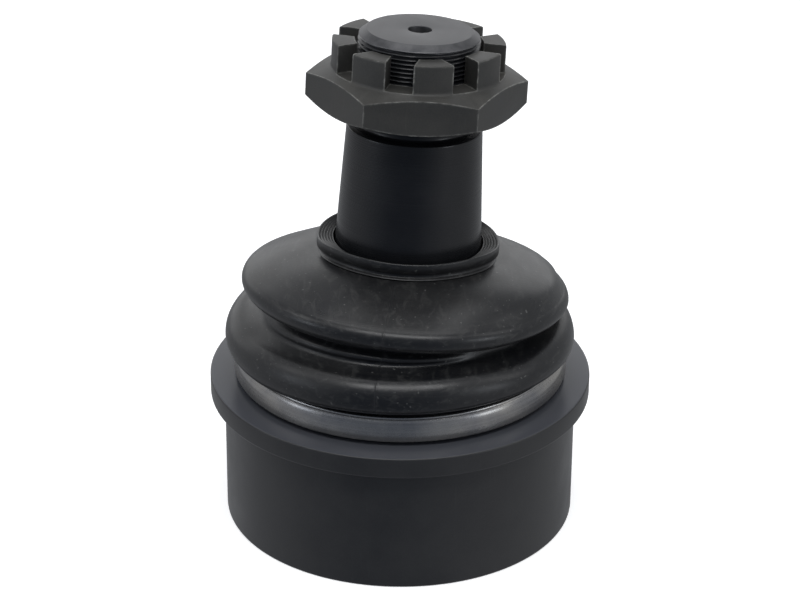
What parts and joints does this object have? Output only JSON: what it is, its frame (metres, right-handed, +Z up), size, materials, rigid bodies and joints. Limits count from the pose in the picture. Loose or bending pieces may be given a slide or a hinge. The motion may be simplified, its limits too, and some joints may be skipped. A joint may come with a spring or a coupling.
{
  "type": "tie rod end",
  "caption": "Press-in flanged ball joint with a tapered stud, slotted nut, rubber bellows and a greasable spring-loaded bearing.",
  "frame": {"origin": "centre of the housing's bottom face", "axes": "+Z up the housing's axis towards the stud, -Y towards the viewer of the picture, +X to the viewer's right"},
  "size_m": [0.135, 0.135, 0.1795],
  "materials": {
    "housing_phosphate": "matte dark phosphate",
    "bearing_steel": "ground steel, greased",
    "spring_steel": "blued spring steel",
    "shim_steel": "plain rolled steel",
    "fitting_plating": "yellow zinc plating",
    "band_steel": "drawn dark steel",
    "seal_rubber": "smooth black rubber",
    "boot_rubber": "satin black rubber",
    "stud_steel": "ground, satin black oiled",
    "nut_phosphate": "matte grey-brown phosphate"
  },
  "bodies": {
    "housing": {"housing": "housing_phosphate", "upper_race": "bearing_steel", "race_dowel_pin": "bearing_steel", "upper_disc_spring": "spring_steel", "lower_disc_spring": "spring_steel", "thin_shim": "shim_steel", "thick_shim": "shim_steel", "cover_plate": "housing_phosphate", "cover_seal_ring": "seal_rubber", "cover_snap_ring": "spring_steel", "grease_fitting": "fitting_plating", "fitting_check_ball": "bearing_steel", "fitting_spring": "spring_steel", "boot_retaining_band": "band_steel", "boot_bead_ring": "band_steel"},
    "lower_seat": {"lower_race": "bearing_steel", "boot": "boot_rubber"},
    "boot_collar": {"boot_lip_ring": "bearing_steel"},
    "stud": {"ball_stud": "stud_steel", "slotted_nut": "nut_phosphate"}
  },
  "joints": [
    {"name": "swing_direction", "type": "hinge", "parent": "housing", "child": "lower_seat", "pos_m": [0, 0, 0.045], "axis": [0, 0, 1], "continuous": true},
    {"name": "stud_tilt", "type": "hinge", "parent": "lower_seat", "child": "boot_collar", "pos_m": [0, 0, 0.045], "axis": [-0.8192, 0.5736, 0], "range_deg": [-19.4, 10.6], "deforming": ["boot"]},
    {"name": "stud_spin", "type": "hinge", "parent": "boot_collar", "child": "stud", "pos_m": [0, 0, 0.045], "axis": [0.044, 0.0628, 0.9971], "continuous": true}
  ]
}
